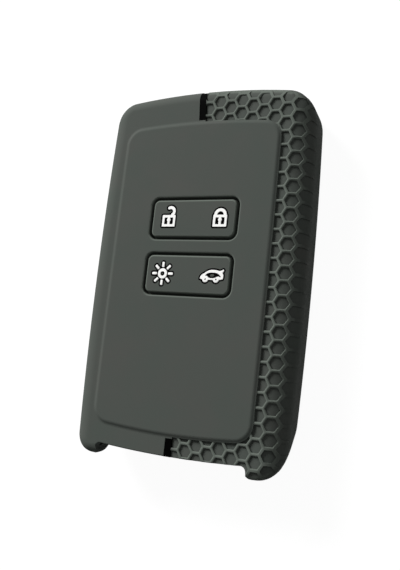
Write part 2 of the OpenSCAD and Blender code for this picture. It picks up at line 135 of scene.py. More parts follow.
def loft(name, rings, heights):
    """A closed solid through outlines of as many points each, given with their heights."""
    points = [(x, y, z) for ring, z in zip(rings, heights) for x, y in ring]
    return piece_from(name, points, ring_faces(0, len(rings), len(rings[0])))


def quarter(steps):
    """Angles of a quarter turn, from its start to its end."""
    return [math.pi / 2 * i / steps for i in range(steps + 1)]


def rounded_in(radius, depth):
    """How far a rounded edge stands in from its wall at a depth below its face."""
    if depth >= radius:
        return 0.0
    return radius - math.sqrt(radius**2 - (radius - depth) ** 2)


def bevel_in(depth):
    """How far the lower face of the ears stands in at a depth."""
    down = max(depth - EAR_ROUND, 0)
    round_depth = BEVEL_ROUND * math.sin(BEVEL_ANGLE)
    if down < round_depth:
        return BEVEL_ROUND - math.sqrt(BEVEL_ROUND**2 - down**2)
    round_rise = BEVEL_ROUND * (1 - math.cos(BEVEL_ANGLE))
    return round_rise + (down - round_depth) * math.tan(BEVEL_ANGLE)


def meeting(a, radius_a, b, radius_b, turn):
    """The point at two distances from two centres, on the side that turn gives."""
    gap = np.linalg.norm(b - a)
    along = (b - a) / gap
    reach = (radius_a**2 - radius_b**2 + gap**2) / (2 * gap)
    rise = math.sqrt(radius_a**2 - reach**2)
    return a + along * reach + np.array([-along[1], along[0]]) * rise * turn


def arc(centre, radius, start, end, steps):
    """Points on an arc, without its last one."""
    turns = [start + (end - start) * i / steps for i in range(steps)]
    return [centre + radius * np.array([math.cos(t), math.sin(t)]) for t in turns]


def angle_of(arrow):
    """The direction of a vector in the plan."""
    return math.atan2(arrow[1], arrow[0])


def outline(line, side_in, top_in, bottom_in, top_r, bottom_r):
    """Four arcs and four round corners, moved in at the sides, the top and the bottom."""
    half_width, top, bottom, bulge, top_arc, bottom_arc = line
    half_span = (top - bottom) / 2
    side_arc = (half_span**2 + bulge**2) / (2 * bulge)
    side_c = np.array([half_width - side_arc, (top + bottom) / 2])
    top_c = np.array([0, top - top_arc])
    bottom_c = np.array([0, bottom + bottom_arc])
    top_corner = meeting(side_c, side_arc - side_in - top_r, top_c, top_arc - top_in - top_r, 1)
    bottom_corner = meeting(
        side_c, side_arc - side_in - bottom_r, bottom_c, bottom_arc - bottom_in - bottom_r, -1
    )
    low = angle_of(bottom_corner - bottom_c)
    side_low = angle_of(bottom_corner - side_c)
    side_high = angle_of(top_corner - side_c)
    high = angle_of(top_corner - top_c)
    right = arc(bottom_c, bottom_arc - bottom_in, -math.pi / 2, low, ARC_STEPS)
    right += arc(bottom_corner, bottom_r, low, side_low, CORNER_STEPS)
    right += arc(side_c, side_arc - side_in, side_low, side_high, SIDE_STEPS)
    right += arc(top_corner, top_r, side_high, high, CORNER_STEPS)
    right += arc(top_c, top_arc - top_in, high, math.pi / 2, ARC_STEPS)
    right.append(np.array([0, top - top_in]))
    left = [np.array([-x, y]) for x, y in right[-2:0:-1]]
    return np.array(right + left)


def cover_ring(depth, face=0.0, side_off=0.0, end_off=0.0, back_off=0.0):
    """The cover's outline, or that of its inside, at a depth below the front face."""
    down = depth - face
    back = rounded_in(BACK_ROUND - side_off, COVER_HEIGHT - back_off - depth)
    side_edge = rounded_in(SIDE_ROUND - side_off, down) + back
    top_edge = rounded_in(TOP_ROUND - end_off, down) + back
    ear_edge = rounded_in(EAR_ROUND - end_off, down)
    share = depth / COVER_HEIGHT
    top_r = TOP_CORNER_R + CORNER_GROWTH * share - side_off - (side_edge + top_edge) / 2
    bottom_r = BOTTOM_CORNER_R + CORNER_GROWTH * share - side_off - (side_edge + ear_edge) / 2
    return outline(
        cover_line,
        side_edge + SIDE_LEAN * share + side_off,
        top_edge + end_off,
        ear_edge + bevel_in(depth) + end_off,
        max(top_r, LEAST_CORNER_R),
        max(bottom_r, LEAST_CORNER_R),
    )


def ring_depths(face, front_r, last, back_r):
    """Depths of the rings, close together where the edges turn."""
    front = [face + front_r * (1 - math.cos(turn)) for turn in quarter(FRONT_RINGS)]
    span = last - back_r - face - front_r
    middle = [face + front_r + span * i / MID_RINGS for i in range(1, MID_RINGS)]
    back = [last - back_r * (1 - math.sin(turn)) for turn in quarter(BACK_RINGS)]
    return front + middle + back


def cover_form(name, skin=0.0):
    """The outside of the cover, or the same form moved in by the depth of a recess."""
    depths = ring_depths(skin, SIDE_ROUND - skin, COVER_HEIGHT, BACK_ROUND)
    rings = [cover_ring(d, skin, skin, skin) for d in depths]
    return loft(name, rings, [COVER_HEIGHT - d for d in depths])


cover = cover_form("cover")


# Honeycomb
# Six-sided pockets between thin soft ribs, moulded into the cover to the right of the stripe.
# They are drawn straight down into the mould, so they run over the rounded edges and fade out on
# the walls.
COMB_PITCH = 3.0
COMB_RIB = 0.62
COMB_DEPTH = 0.43
COMB_SIDE_DEPTH = 0.25

# Place of the first column and of its middle cell, and the columns and rows that cover the front
COMB_START = 1.0
COMB_LIFT = 0.07
COMB_COLUMNS = 11
COMB_ROWS_EACH_WAY = 15

# How far down the walls the cells reach, and over what depth they turn shallow at sides and ends
COMB_REACH = 5.6
COMB_TURN = 1.8
COMB_END_TURN = 1.1
PROUD_SHARE = -0.5
END_PROUD_SHARE = 0.15

# At the open end the cells are pressed together a little, over a short run
SQUEEZE_SHARE = 0.026
SQUEEZE_RUN = 3.0

# The low raised panel, which the cells stop at
PANEL_WIDTH = 37.2
PANEL_TOP_GAP = 8.1
PANEL_BOTTOM_GAP = 4.4
PANEL_BULGE = 0.2
PANEL_TOP_ARC_R = 175.0
PANEL_BOTTOM_ARC_R = 160.0

# Profile of a rib: shares of its half width, each with the share of the depth that it lies at
RIB_SHARES = [
    (0.12, 0.0),
    (0.36, 0.03),
    (0.6, 0.09),
    (0.8, 0.19),
    (0.93, 0.34),
    (1.0, 0.56),
    (1.05, 0.82),
    (1.1, 1.02),
]
CORNER_SHARE = 0.09

# A cell on a face that leans more than this gets plain straight walls
LEAST_LEVEL = 0.55
OVERRUN = 1.0

panel_line = (
    PANEL_WIDTH / 2,
    HALF_LENGTH - PANEL_TOP_GAP,
    notch_y + PANEL_BOTTOM_GAP,
    PANEL_BULGE,
    PANEL_TOP_ARC_R,
    PANEL_BOTTOM_ARC_R,
)


def carve(piece, tool, how="DIFFERENCE"):
    """Cuts, joins or trims a solid with another, which is used up."""
    cut = piece.modifiers.new("carve", "BOOLEAN")
    cut.operation = how
    cut.object = tool
    cut.solver = "MANIFOLD"
    evaluated = piece.evaluated_get(bpy.context.evaluated_depsgraph_get())
    result = bpy.data.meshes.new_from_object(evaluated)
    piece.modifiers.remove(cut)
    piece.data = result
    bpy.data.objects.remove(tool)
    return piece


def sunk_share(depth, end_share):
    """Share of the cells' full depth at a depth below the front face, on a side or at the end."""
    side_share = COMB_SIDE_DEPTH / COMB_DEPTH * (1 - end_share)
    fade = COMB_TURN + (COMB_END_TURN - COMB_TURN) * end_share
    turned = math.cos(math.pi * min(depth / fade, 1))
    fading = max(1 - (depth / COMB_REACH) ** 2, PROUD_SHARE)
    proud = END_PROUD_SHARE * end_share * min(depth / fade, 1)
    return side_share * fading + (1 - side_share) * (1 + turned) / 2 - proud


def comb_floor():
    """Floors of the cells, which come up to the surface on the sides and at the ends."""
    depths = ring_depths(COMB_DEPTH, SIDE_ROUND - COMB_DEPTH, COVER_HEIGHT, BACK_ROUND)
    rings = []
    for depth in depths:
        flush = cover_ring(depth)
        sunk = cover_ring(depth, COMB_DEPTH, COMB_DEPTH, COMB_DEPTH)
        ahead = np.roll(flush, -1, axis=0) - np.roll(flush, 1, axis=0)
        end_shares = ahead[:, 0] ** 2 / (ahead**2).sum(axis=1)
        shares = np.array([sunk_share(depth, end_share) for end_share in end_shares])
        rings.append(flush + (sunk - flush) * shares[:, None])
    return loft("comb_floor", rings, [COVER_HEIGHT - d for d in depths])


def cell_ring(centre, inset):
    """A six-sided cell moved in from its borders, with its corners cut back a little."""
    apothem = COMB_PITCH / 2 - inset
    corner = apothem * 2 / math.sqrt(3)

    def corner_at(k):
        return np.array([math.cos(k * math.pi / 3), math.sin(k * math.pi / 3)]) * corner

    points = []
    for k in range(6):
        here = corner_at(k)
        before = here + (corner_at(k - 1) - here) * CORNER_SHARE
        after = here + (corner_at(k + 1) - here) * CORNER_SHARE
        points += [before, before / 4 + here / 2 + after / 4, after]
    points = np.array(points) + centre
    squeeze = np.clip((panel_line[2] - points[:, 1]) / SQUEEZE_RUN, 0, 1) * SQUEEZE_SHARE
    points[:, 0] += squeeze * (HALF_WIDTH - points[:, 0])
    return points


def comb_cells(surface):
    """Cutters for the cells, whose rounded rims follow the surface of the cover."""
    tree = BVHTree.FromObject(surface, bpy.context.evaluated_depsgraph_get())
    bottom = COVER_HEIGHT - COMB_REACH
    top = COVER_HEIGHT + OVERRUN

    def drop(point):
        """Depth of the surface under a point of the plan, and how level it lies there."""
        start = Vector((point[0] * MM, point[1] * MM, top * MM))
        hit, normal, _, _ = tree.ray_cast(start, Vector((0, 0, -1)))
        if hit is None:
            return COMB_REACH, 0.0
        return COVER_HEIGHT - hit.z / MM, normal.z

    def cutter_rings(centre):
        """Rings of one cutter and their heights, from its floor up, or none off the cover."""
        rim = [drop(p) for p in cell_ring(centre, 0.0)]
        if all(depth == COMB_REACH for depth, _ in rim):
            return []
        if min(level for _, level in rim) < LEAST_LEVEL:
            plain = cell_ring(centre, COMB_RIB / 2)
            return [(plain, [bottom] * len(plain)), (plain, [top] * len(plain))]
        rings = []
        for width_share, depth_share in reversed(RIB_SHARES):
            ring = cell_ring(centre, COMB_RIB / 2 * width_share)
            found = [drop(p) for p in ring]
            sink = COMB_DEPTH * depth_share
            rings.append((ring, [COVER_HEIGHT - depth - sink / level for depth, level in found]))
        narrow, lowest = rings[0]
        wide = rings[-1][0]
        floor = [(narrow, [height - COMB_DEPTH for height in lowest])]
        return floor + rings + [(wide, [top] * len(wide))]

    points = []
    faces = []
    column_step = COMB_PITCH * math.sqrt(3) / 2
    for column in range(COMB_COLUMNS):
        for row in range(-COMB_ROWS_EACH_WAY, COMB_ROWS_EACH_WAY + 1):
            along = COMB_LIFT + (row + (column % 2) / 2) * COMB_PITCH
            centre = np.array([COMB_START + column * column_step, along])
            under_panel = (
                centre[0] < panel_line[0] - COMB_PITCH / 2
                and panel_line[2] + COMB_PITCH < along < panel_line[1] - COMB_PITCH
            )
            if under_panel or abs(along) > HALF_LENGTH + COMB_PITCH:
                continue
            rings = cutter_rings(centre)
            if rings:
                faces += ring_faces(len(points), len(rings), len(rings[0][0]))
            for ring, heights in rings:
                points += [(x, y, z) for (x, y), z in zip(ring, heights)]
    return piece_from("comb_cells", points, faces)


comb_cut = comb_cells(cover)
carve(comb_cut, comb_floor())


# Stripe groove and raised panel
# A groove takes the black stripe between the smooth half and the honeycomb. The panel is moulded
# in one with the cover: its side turns down softly and out again, and the comb's ribs end in a
# narrow wall along it.
STRIPE_WIDTH = 1.6
STRIPE_THICK = 0.5
STRIPE_SINK = 0.15
STRIPE_REACH = 7.0
TOP_STRIPE_LEFT = 0.3
TOP_STRIPE_LEAN = math.radians(5)
BOTTOM_STRIPE_RIGHT = 0.15
PANEL_LEFT = 0.28
PANEL_CORNER_R = 3.7
PANEL_EDGE_WIDTH = 1.3
PANEL_STEPS = 6
COMB_WALL = 0.3

# The cells run a little way into the empty groove, so that no cut ends in the plane of another
SEAM_OVERLAP = 0.05
FAR = 60.0

groove_depth = STRIPE_SINK + STRIPE_THICK
top_end = HALF_LENGTH + OVERRUN
panel_shift = np.array([PANEL_LEFT, 0])


def stripe_x(y):
    """Middle of the stripe at a place along the cover."""
    if y > 0:
        return -TOP_STRIPE_LEFT - (y - panel_line[1]) * math.tan(TOP_STRIPE_LEAN)
    return BOTTOM_STRIPE_RIGHT


def stripe_slab(start, end, reach, gap=0.0):
    """A slab as wide as the stripe, less a gap at each side, between two places."""
    side = STRIPE_WIDTH / 2 - gap
    low = stripe_x(start)
    high = stripe_x(end)
    plan = [(low - side, start), (low + side, start), (high + side, end), (high - side, end)]
    return loft("stripe_slab", [plan, plan], [COVER_HEIGHT - reach, COVER_HEIGHT + OVERRUN])


def panel():
    """The raised panel, down to the floor of the stripe's groove."""
    half_edge = PANEL_EDGE_WIDTH / 2
    full_turn = 2 * math.atan(PANEL_HEIGHT / PANEL_EDGE_WIDTH)
    edge_r = half_edge / math.sin(full_turn)
    turns = [full_turn * i / PANEL_STEPS for i in range(PANEL_STEPS + 1)]
    edges = []
    for turn in turns:
        drop = edge_r * (1 - math.cos(turn))
        edges.append((half_edge - edge_r * math.sin(turn), TOTAL_HEIGHT - drop))
    for turn in reversed(turns[:-1]):
        rise = edge_r * (1 - math.cos(turn))
        edges.append((edge_r * math.sin(turn) - half_edge, COVER_HEIGHT + rise))
    edges.append((-half_edge, COVER_HEIGHT - groove_depth))
    rings = []
    for edge, _ in edges:
        corner_r = PANEL_CORNER_R - edge
        rings.append(outline(panel_line, edge, edge, edge, corner_r, corner_r) - panel_shift)
    return loft("panel", rings, [z for _, z in edges])


def comb_limit(name, plan):
    """A straight block over this plan, which keeps the cells out."""
    return loft(name, [plan, plan], [-OVERRUN, COVER_HEIGHT + 2 * OVERRUN])


top_groove = stripe_slab(panel_line[1], top_end, STRIPE_REACH)
carve(cover, carve(top_groove, cover_form("groove_floor", groove_depth)))
carve(cover, stripe_slab(bottom_y, panel_line[2], groove_depth))
carve(cover, panel(), "UNION")

seam = [
    (stripe_x(y) + STRIPE_WIDTH / 2 - SEAM_OVERLAP, y) for y in (top_end, panel_line[1], 0, -top_end)
]
carve(comb_cut, comb_limit("smooth_half", seam + [(-FAR, -top_end), (-FAR, top_end)]))
wall_r = PANEL_CORNER_R + COMB_WALL
wall_line = outline(panel_line, -COMB_WALL, -COMB_WALL, -COMB_WALL, wall_r, wall_r)
carve(comb_cut, comb_limit("comb_wall", wall_line - panel_shift))
carve(cover, comb_cut)


# Pocket, window, notch and openings
# The cover is hollow for the key card, which goes in at the open end, and its back is a rim round
# a wide window. The front wall ends in a shallow notch between the ears, above the mouth. Two
# openings with round lips leave room for the pads.
FRONT_WALL = 1.6
SIDE_WALL = 1.6
END_WALL = 1.8
RIM_WALL = 1.4
RIM_WIDTH = 6.4
WINDOW_CORNER_R = 5.0
NOTCH_ARC_R = 230.0
NOTCH_CORNER_R = 1.1
NOTCH_DRAFT = 0.16
LIP_R = 0.3
OPENING_WIDTH = 21.1
OPENING_HEIGHT = 9.4
OPENING_CORNER_R = 1.9
OPENING_LIP_R = 0.45
PADS_RIGHT = 0.25
PAD_SPACING = 12.26
UPPER_PAD_Y = 11.3
LOWER_PAD_Y = UPPER_PAD_Y - PAD_SPACING

# Steps round a corner of a rectangle, a lip, and the arcs of the notch
ROUND_STEPS = 8
LIP_STEPS = 4
NOTCH_STEPS = 10
NOTCH_CORNER_STEPS = 6

# Limit on how far a sharp corner runs out when its outline grows, and the shortest edge kept
LEAST_SPREAD = 1.0
LEAST_EDGE = 0.001

pad_floor = COVER_HEIGHT - FRONT_WALL


def block(name, low, high):
    """A box between two corners."""
    ring = [(low[0], low[1]), (high[0], low[1]), (high[0], high[1]), (low[0], high[1])]
    return loft(name, [ring, ring], [low[2], high[2]])


def rounded_rect(width, height, radius, grow=0.0):
    """A rectangle with round corners about the middle, grown on all sides."""
    radius = radius + grow
    corner_x = width / 2 + grow - radius
    corner_y = height / 2 + grow - radius
    points = []
    for turn, (sx, sy) in enumerate([(1, 1), (-1, 1), (-1, -1), (1, -1)]):
        start = turn * math.pi / 2
        end = start + math.pi / 2
        centre = np.array([sx * corner_x, sy * corner_y])
        points += arc(centre, radius, start, end, ROUND_STEPS)
        points.append(centre + radius * np.array([math.cos(end), math.sin(end)]))
    return np.array(points)


def grown(points, distance):
    """A closed outline, drawn against the clock, moved out by a distance."""
    points = np.array(points, float)
    ahead = np.roll(points, -1, axis=0) - points
    ahead /= np.linalg.norm(ahead, axis=1)[:, None]
    normal = np.column_stack([ahead[:, 1], -ahead[:, 0]])
    mitre = normal + np.roll(normal, 1, axis=0)
    spread = np.maximum((mitre**2).sum(axis=1), LEAST_SPREAD)
    return points + mitre * (2 * distance / spread)[:, None]


def lipped_cut(name, ring_at, low, face, lip, up=1):
    """A cutter that widens into a round lip where it leaves a face, above it or below."""
    heights = [low] + [face - up * lip * math.cos(turn) for turn in quarter(LIP_STEPS)]
    rings = [ring_at(0.0)] + [ring_at(rounded_in(lip, abs(face - h))) for h in heights[1:]]
    return loft(name, rings + [rings[-1]], heights + [face + up * OVERRUN])


def key_pocket():
    """The space for the key card."""
    depths = ring_depths(
        FRONT_WALL, SIDE_ROUND - SIDE_WALL, COVER_HEIGHT - RIM_WALL, BACK_ROUND - SIDE_WALL
    )
    rings = [cover_ring(d, FRONT_WALL, SIDE_WALL, END_WALL, RIM_WALL) for d in depths]
    return loft("key_pocket", rings, [COVER_HEIGHT - d for d in depths])


def back_window():
    """The window in the back, which runs out between the ears."""
    top = HALF_LENGTH - RIM_WIDTH
    length = top - bottom_y + OVERRUN + WINDOW_CORNER_R
    width = 2 * (HALF_WIDTH - RIM_WIDTH)
    centre = np.array([0, top - length / 2])

    def ring_at(grow):
        return rounded_rect(width, length, WINDOW_CORNER_R, grow) + centre

    return lipped_cut("back_window", ring_at, RIM_WALL + OVERRUN / 2, 0.0, LIP_R, up=-1)


def notch_outline():
    """Plan of the notch between the ears, with the front wall's arched edge."""
    corner_x = notch_half - NOTCH_CORNER_R
    edge_y = notch_y + NOTCH_ARC_R - math.sqrt(NOTCH_ARC_R**2 - corner_x**2)
    arc_c = np.array([0, notch_y + NOTCH_ARC_R])
    tip_c = np.array([ear_x, -HALF_LENGTH + EAR_TIP_R])
    corner_c = np.array([corner_x, edge_y - NOTCH_CORNER_R])
    edge_end = angle_of(np.array([corner_x, edge_y]) - arc_c)
    right = [np.array([FAR, bottom_y - FAR]), np.array([FAR, -HALF_LENGTH])]
    right += arc(tip_c, EAR_TIP_R, -math.pi / 2, -math.pi, NOTCH_CORNER_STEPS)
    right.append(np.array([notch_half, -HALF_LENGTH + EAR_TIP_R]))
    right += arc(corner_c, NOTCH_CORNER_R, 0, math.pi / 2, NOTCH_CORNER_STEPS)
    right += arc(arc_c, NOTCH_ARC_R, edge_end, -math.pi / 2, NOTCH_STEPS)
    left = [np.array([-x, y]) for x, y in reversed(right)]
    return np.array(right + [np.array([0, notch_y])] + left)


def notch():
    """The notch, cut right through, wider at the back and with a round lip at the front."""
    plan = notch_outline()
    cutter = lipped_cut("notch", lambda grow: grown(plan, grow), -OVERRUN, COVER_HEIGHT, LIP_R)
    for corner in cutter.data.vertices:
        if corner.co.z < 0 and abs(corner.co.x) < HALF_WIDTH * MM:
            corner.co.x *= 1 + NOTCH_DRAFT * COVER_HEIGHT / notch_half
    return cutter


def mouth():
    """The mouth behind the notch, where the end of the key card shows."""
    top = bottom_y + bevel_in(COVER_HEIGHT) + END_WALL + OVERRUN
    return block(
        "mouth", (-notch_half, bottom_y - OVERRUN, -OVERRUN), (notch_half, top, pad_floor)
    )


def pad_opening(y):
    """The opening round one pad, with a round lip."""
    centre = np.array([PADS_RIGHT, y])

    def ring_at(grow):
        return rounded_rect(OPENING_WIDTH, OPENING_HEIGHT, OPENING_CORNER_R, grow) + centre

    return lipped_cut("pad_opening", ring_at, pad_floor - OVERRUN, TOTAL_HEIGHT, OPENING_LIP_R)


carve(cover, key_pocket())
carve(cover, back_window())
carve(cover, notch())
carve(cover, mouth())
for pad_y in (UPPER_PAD_Y, LOWER_PAD_Y):
    carve(cover, pad_opening(pad_y))

# The cuts leave some edges far shorter than a hair is wide, and these are closed up
shape = bmesh.new()
shape.from_mesh(cover.data)
bmesh.ops.dissolve_degenerate(shape, dist=LEAST_EDGE * MM, edges=shape.edges)
shape.to_mesh(cover.data)
shape.free()


# Skin of the moulding
# Silicone rubber takes the skin of its mould, which is spark-eroded steel: a fine even grain with
# a soft sheen and no sharp highlight. The pigment is a dark grey-green, a little uneven. The rib
# crests and the lips round the pads get a painted highlight: a paler colour and a lower roughness.
SILICONE_IOR = 1.41

# Width of the clouds in the pigment, and of the grain, which is really about half as coarse
CLOUD_SIZE = 11.0
GRAIN_SIZE = 0.17
GRAIN_DEPTH = 0.04
GRAIN_STRENGTH = 0.12
# How much the clouds change the roughness, and how much lower it is under the painted highlight
CLOUD_SHEEN = 0.12
HIGHLIGHT_SMOOTHING = 0.08

# A crest gets the painted highlight where it lies this close under the plain form, clear of the
# stripe, and faces upward
CREST_DEPTH = 0.16
STRIPE_CLEARANCE = 0.1
CREST_LEVEL = 0.45
CREST_FADE = 0.2

# The painted highlight on a lip lies in a narrow band just below the panel's face
LIP_BAND = 0.3
FACE_BAND = 0.01
NEARBY = 0.02

# Edges that turn more than this are shaded sharp
CREASE_ANGLE = math.radians(38)

# Places of the colour sockets on a Mix node
FIRST_COLOUR = 6
SECOND_COLOUR = 7
MIXED_COLOUR = 2

plain_form = cover_form("plain_form")
plain_tree = BVHTree.FromObject(plain_form, bpy.context.evaluated_depsgraph_get())
bpy.data.objects.remove(plain_form)


def linear(code):
    """An sRGB hex colour as linear values, with full alpha."""
    channels = [int(code[i : i + 2], 16) / 255 for i in (1, 3, 5)]
    straight = [c / 12.92 if c <= 0.04045 else ((c + 0.055) / 1.055) ** 2.4 for c in channels]
    return (*straight, 1.0)


def add(tree, kind, settings=None, links=None):
    """A shader node with its settings and the sockets that feed it."""
    node = tree.nodes.new(kind)
    for key, value in (settings or {}).items():
        if isinstance(key, int) or key in node.inputs:
            node.inputs[key].default_value = value
        else:
            setattr(node, key, value)
    for key, source in (links or {}).items():
        tree.links.new(source, node.inputs[key])
    return node


def silicone(name, pigment, cloudy, roughness, gloss, highlight_pigment="#000000"):
    """Moulded silicone with its grain, a faint unevenness of the pigment and a painted highlight
    where it is marked.
    """
    material = bpy.data.materials.new(name)
    material.use_nodes = True
    tree = material.node_tree
    tree.nodes.clear()
    place = add(tree, "ShaderNodeTexCoord")
    cloud = add(
        tree,
        "ShaderNodeTexNoise",
        {"Scale": 1 / (CLOUD_SIZE * MM), "Detail": 3.0, "Roughness": 0.6},
        {"Vector": place.outputs["Object"]},
    )
    tint = add(
        tree,
        "ShaderNodeMix",
        {"data_type": "RGBA", FIRST_COLOUR: linear(pigment), SECOND_COLOUR: linear(cloudy)},
        {"Factor": cloud.outputs["Fac"]},
    )
    # Points marked for the painted highlight take a paler colour and a lower roughness
    painted_highlight = add(tree, "ShaderNodeAttribute", {"attribute_name": "painted_highlight"})
    skin = add(
        tree,
        "ShaderNodeMix",
        {"data_type": "RGBA", SECOND_COLOUR: linear(highlight_pigment)},
        {"Factor": painted_highlight.outputs["Fac"], FIRST_COLOUR: tint.outputs[MIXED_COLOUR]},
    )
    grain = add(
        tree,
        "ShaderNodeTexNoise",
        {"Scale": 1 / (GRAIN_SIZE * MM), "Detail": 2.0, "Roughness": 0.5},
        {"Vector": place.outputs["Object"]},
    )
    bump = add(
        tree,
        "ShaderNodeBump",
        {"Strength": GRAIN_STRENGTH, "Distance": GRAIN_DEPTH * MM},
        {"Height": grain.outputs["Fac"]},
    )
    handled = add(
        tree,
        "ShaderNodeMapRange",
        {"To Min": roughness + CLOUD_SHEEN, "To Max": roughness - CLOUD_SHEEN},
        {"Value": cloud.outputs["Fac"]},
    )
    sheen = add(
        tree,
        "ShaderNodeMath",
        {"operation": "MULTIPLY_ADD", 1: -HIGHLIGHT_SMOOTHING},
        {0: painted_highlight.outputs["Fac"], 2: handled.outputs["Result"]},
    )
    shader = add(
        tree,
        "ShaderNodeBsdfPrincipled",
        {"IOR": SILICONE_IOR, "Specular IOR Level": gloss},
        {
            "Base Color": skin.outputs[MIXED_COLOUR],
            "Roughness": sheen.outputs[0],
            "Normal": bump.outputs["Normal"],
        },
    )
    add(tree, "ShaderNodeOutputMaterial", None, {"Surface": shader.outputs["BSDF"]})
    return material


def paint_highlight(piece, share_at):
    """Marks how much painted highlight each point of a piece gets, from nothing to one."""
    marks = piece.data.attributes.new("painted_highlight", "FLOAT", "POINT")
    for corner, mark in zip(piece.data.vertices, marks.data):
        mark.value = share_at(corner.co / MM)


def lip_highlight(place):
    """Painted highlight on the round edge below the panel's face, and not elsewhere."""
    return float(TOTAL_HEIGHT - LIP_BAND < place.z < TOTAL_HEIGHT - FACE_BAND)


def cover_highlight(place):
    """Rib crests and the lips of the openings get a painted highlight, and the wide faces do not."""
    x, y, z = place
    nearest, normal, _, _ = plain_tree.find_nearest(place * MM)
    depth = (nearest - place * MM).length / MM
    on_comb = x > stripe_x(y) + STRIPE_WIDTH / 2 + STRIPE_CLEARANCE
    on_crest = depth < CREST_DEPTH and normal.z > CREST_LEVEL
    if on_comb and on_crest and z < COVER_HEIGHT + NEARBY:
        return min((normal.z - CREST_LEVEL) / CREST_FADE, 1)
    beside_pads = abs(x - PADS_RIGHT) < OPENING_WIDTH / 2 + OPENING_LIP_R + NEARBY
    level_with_pads = LOWER_PAD_Y - OPENING_HEIGHT < y < UPPER_PAD_Y + OPENING_HEIGHT
    return lip_highlight(place) if beside_pads and level_with_pads else 0.0


def finish_piece(piece, material, body):
    """Gives a piece its material, soft shading and body."""
    piece.data.materials.clear()
    piece.data.materials.append(material)
    for face in piece.data.polygons:
        face.use_smooth = True
    piece.data.set_sharp_from_angle(angle=CREASE_ANGLE)
    weighted = piece.modifiers.new("even_shading", "WEIGHTED_NORMAL")
    weighted.keep_sharp = True
    if body:
        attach(piece, body)


# The paler colour is a painted highlight on the rib crests and the lips round the pads
cover_silicone = silicone(
    "grained_grey_green_silicone",
    pigment="#48504b",
    cloudy="#4f4f4c",
    roughness=0.7,
    gloss=0.03,
    highlight_pigment="#5d635d",
)
paint_highlight(cover, cover_highlight)
finish_piece(cover, cover_silicone, "cover")
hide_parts("cover_shell")


# Black stripe
# A strip of black silicone, moulded first and bonded into the groove in two lengths, one at each
# end of the panel. It lies a little below the face, and a hairline gap shows at each side.
FILL_SINK = 0.12
FILL_GAP = 0.04

# Carbon pigment in the same grained skin, which takes nearly all the light and hardly shines
black_silicone_and_gap_shade = silicone(
    "grained_black_silicone_and_gap_shade", pigment="#020202", cloudy="#030303", roughness=0.6, gloss=0.01
)
for name, start, end, reach in (
    ("top_stripe", panel_line[1] + PANEL_EDGE_WIDTH / 2, top_end, STRIPE_REACH),
    ("bottom_stripe", notch_y, panel_line[2] - PANEL_EDGE_WIDTH / 2, groove_depth),
):
    strip = stripe_slab(start, end, reach, FILL_GAP)
    carve(strip, cover_form("stripe_face", FILL_SINK), "INTERSECT")
    carve(strip, cover_form("stripe_back", groove_depth))
    strip.name = name + "_fill"
    finish_piece(strip, black_silicone_and_gap_shade, "cover")
    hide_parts(name)


# Button pads and webs
# Each pad is one block of the cover's silicone with a round upper edge, and each half of it is a
# press zone over one button of the key. A thin dished web, moulded in one with both, joins the
# pad's foot to the cover.
GROOVE_WIDTH = 0.6
PAD_ROUND = 0.45
PAD_EDGE_STEPS = 6
FOOT_GROWTH = 0.09
FOOT_HEIGHT = 1.1
FOOT_FADE = 0.1

# Length over which a pressed half bends into the other half, and its edges across
BEND_WIDTH = 3.0
BEND_STEPS = 8

# Web: its thickness in the middle, its gap to the pad and how much it thickens at its edges
WEB_THICK = 0.5
WEB_GAP = 0.1
WEB_FILLET = 0.22
WEB_STEPS = 6

pad_width = OPENING_WIDTH - 2 * GROOVE_WIDTH
pad_height = OPENING_HEIGHT - 2 * GROOVE_WIDTH
pad_corner_r = OPENING_CORNER_R - GROOVE_WIDTH


def keep_half(piece, side):
    """Keeps what lies on the left or on the right of the pads' middle."""
    low_x, high_x = sorted((PADS_RIGHT, PADS_RIGHT + side * FAR))
    half = block("half", (low_x, -FAR, 0), (high_x, FAR, 2 * TOTAL_HEIGHT))
    return carve(piece, half, "INTERSECT")


def cut_across(piece, places):
    """Adds edges across a piece at these places along X."""
    shape = bmesh.new()
    shape.from_mesh(piece.data)
    for x in places:
        everything = shape.verts[:] + shape.edges[:] + shape.faces[:]
        bmesh.ops.bisect_plane(
            shape, geom=everything, plane_co=(x * MM, 0, 0), plane_no=(1, 0, 0)
        )
    shape.to_mesh(piece.data)
    shape.free()


def press_zone(name, y, side):
    """Half of a pad with its slightly wider foot, on the left or on the right of its middle."""
    centre = np.array([PADS_RIGHT, y])
    edges = [(FOOT_GROWTH, pad_floor), (FOOT_GROWTH, pad_floor + FOOT_HEIGHT)]
    edges.append((0.0, pad_floor + FOOT_HEIGHT + FOOT_FADE))
    for turn in reversed(quarter(PAD_EDGE_STEPS)):
        depth = PAD_ROUND * (1 - math.cos(turn))
        edges.append((-rounded_in(PAD_ROUND, depth), TOTAL_HEIGHT - depth))
    rings = [rounded_rect(pad_width, pad_height, pad_corner_r, grow) + centre for grow, _ in edges]
    pad = keep_half(loft(name, rings, [z for _, z in edges]), side)
    steps = range(1, BEND_STEPS + 1)
    cut_across(pad, [PADS_RIGHT + side * BEND_WIDTH * i / BEND_STEPS for i in steps])
    return pad


def web_half(name, y, side):
    """Half of the thin web at the bottom of the groove, hollowed between its two edges."""
    centre = np.array([PADS_RIGHT, y])
    rings = [rounded_rect(OPENING_WIDTH, OPENING_HEIGHT, OPENING_CORNER_R) + centre]
    heights = [pad_floor]
    for i in range(WEB_STEPS + 1):
        across = i / WEB_STEPS
        grow = -across * (GROOVE_WIDTH - WEB_GAP)
        rings.append(rounded_rect(OPENING_WIDTH, OPENING_HEIGHT, OPENING_CORNER_R, grow) + centre)
        heights.append(pad_floor + WEB_THICK + WEB_FILLET * (2 * across - 1) ** 2)
    web = loft(name, rings, heights)
    hole = rounded_rect(pad_width, pad_height, pad_corner_r, WEB_GAP) + centre
    carve(web, loft("web_hole", [hole, hole], [pad_floor - OVERRUN, TOTAL_HEIGHT]))
    return keep_half(web, side)


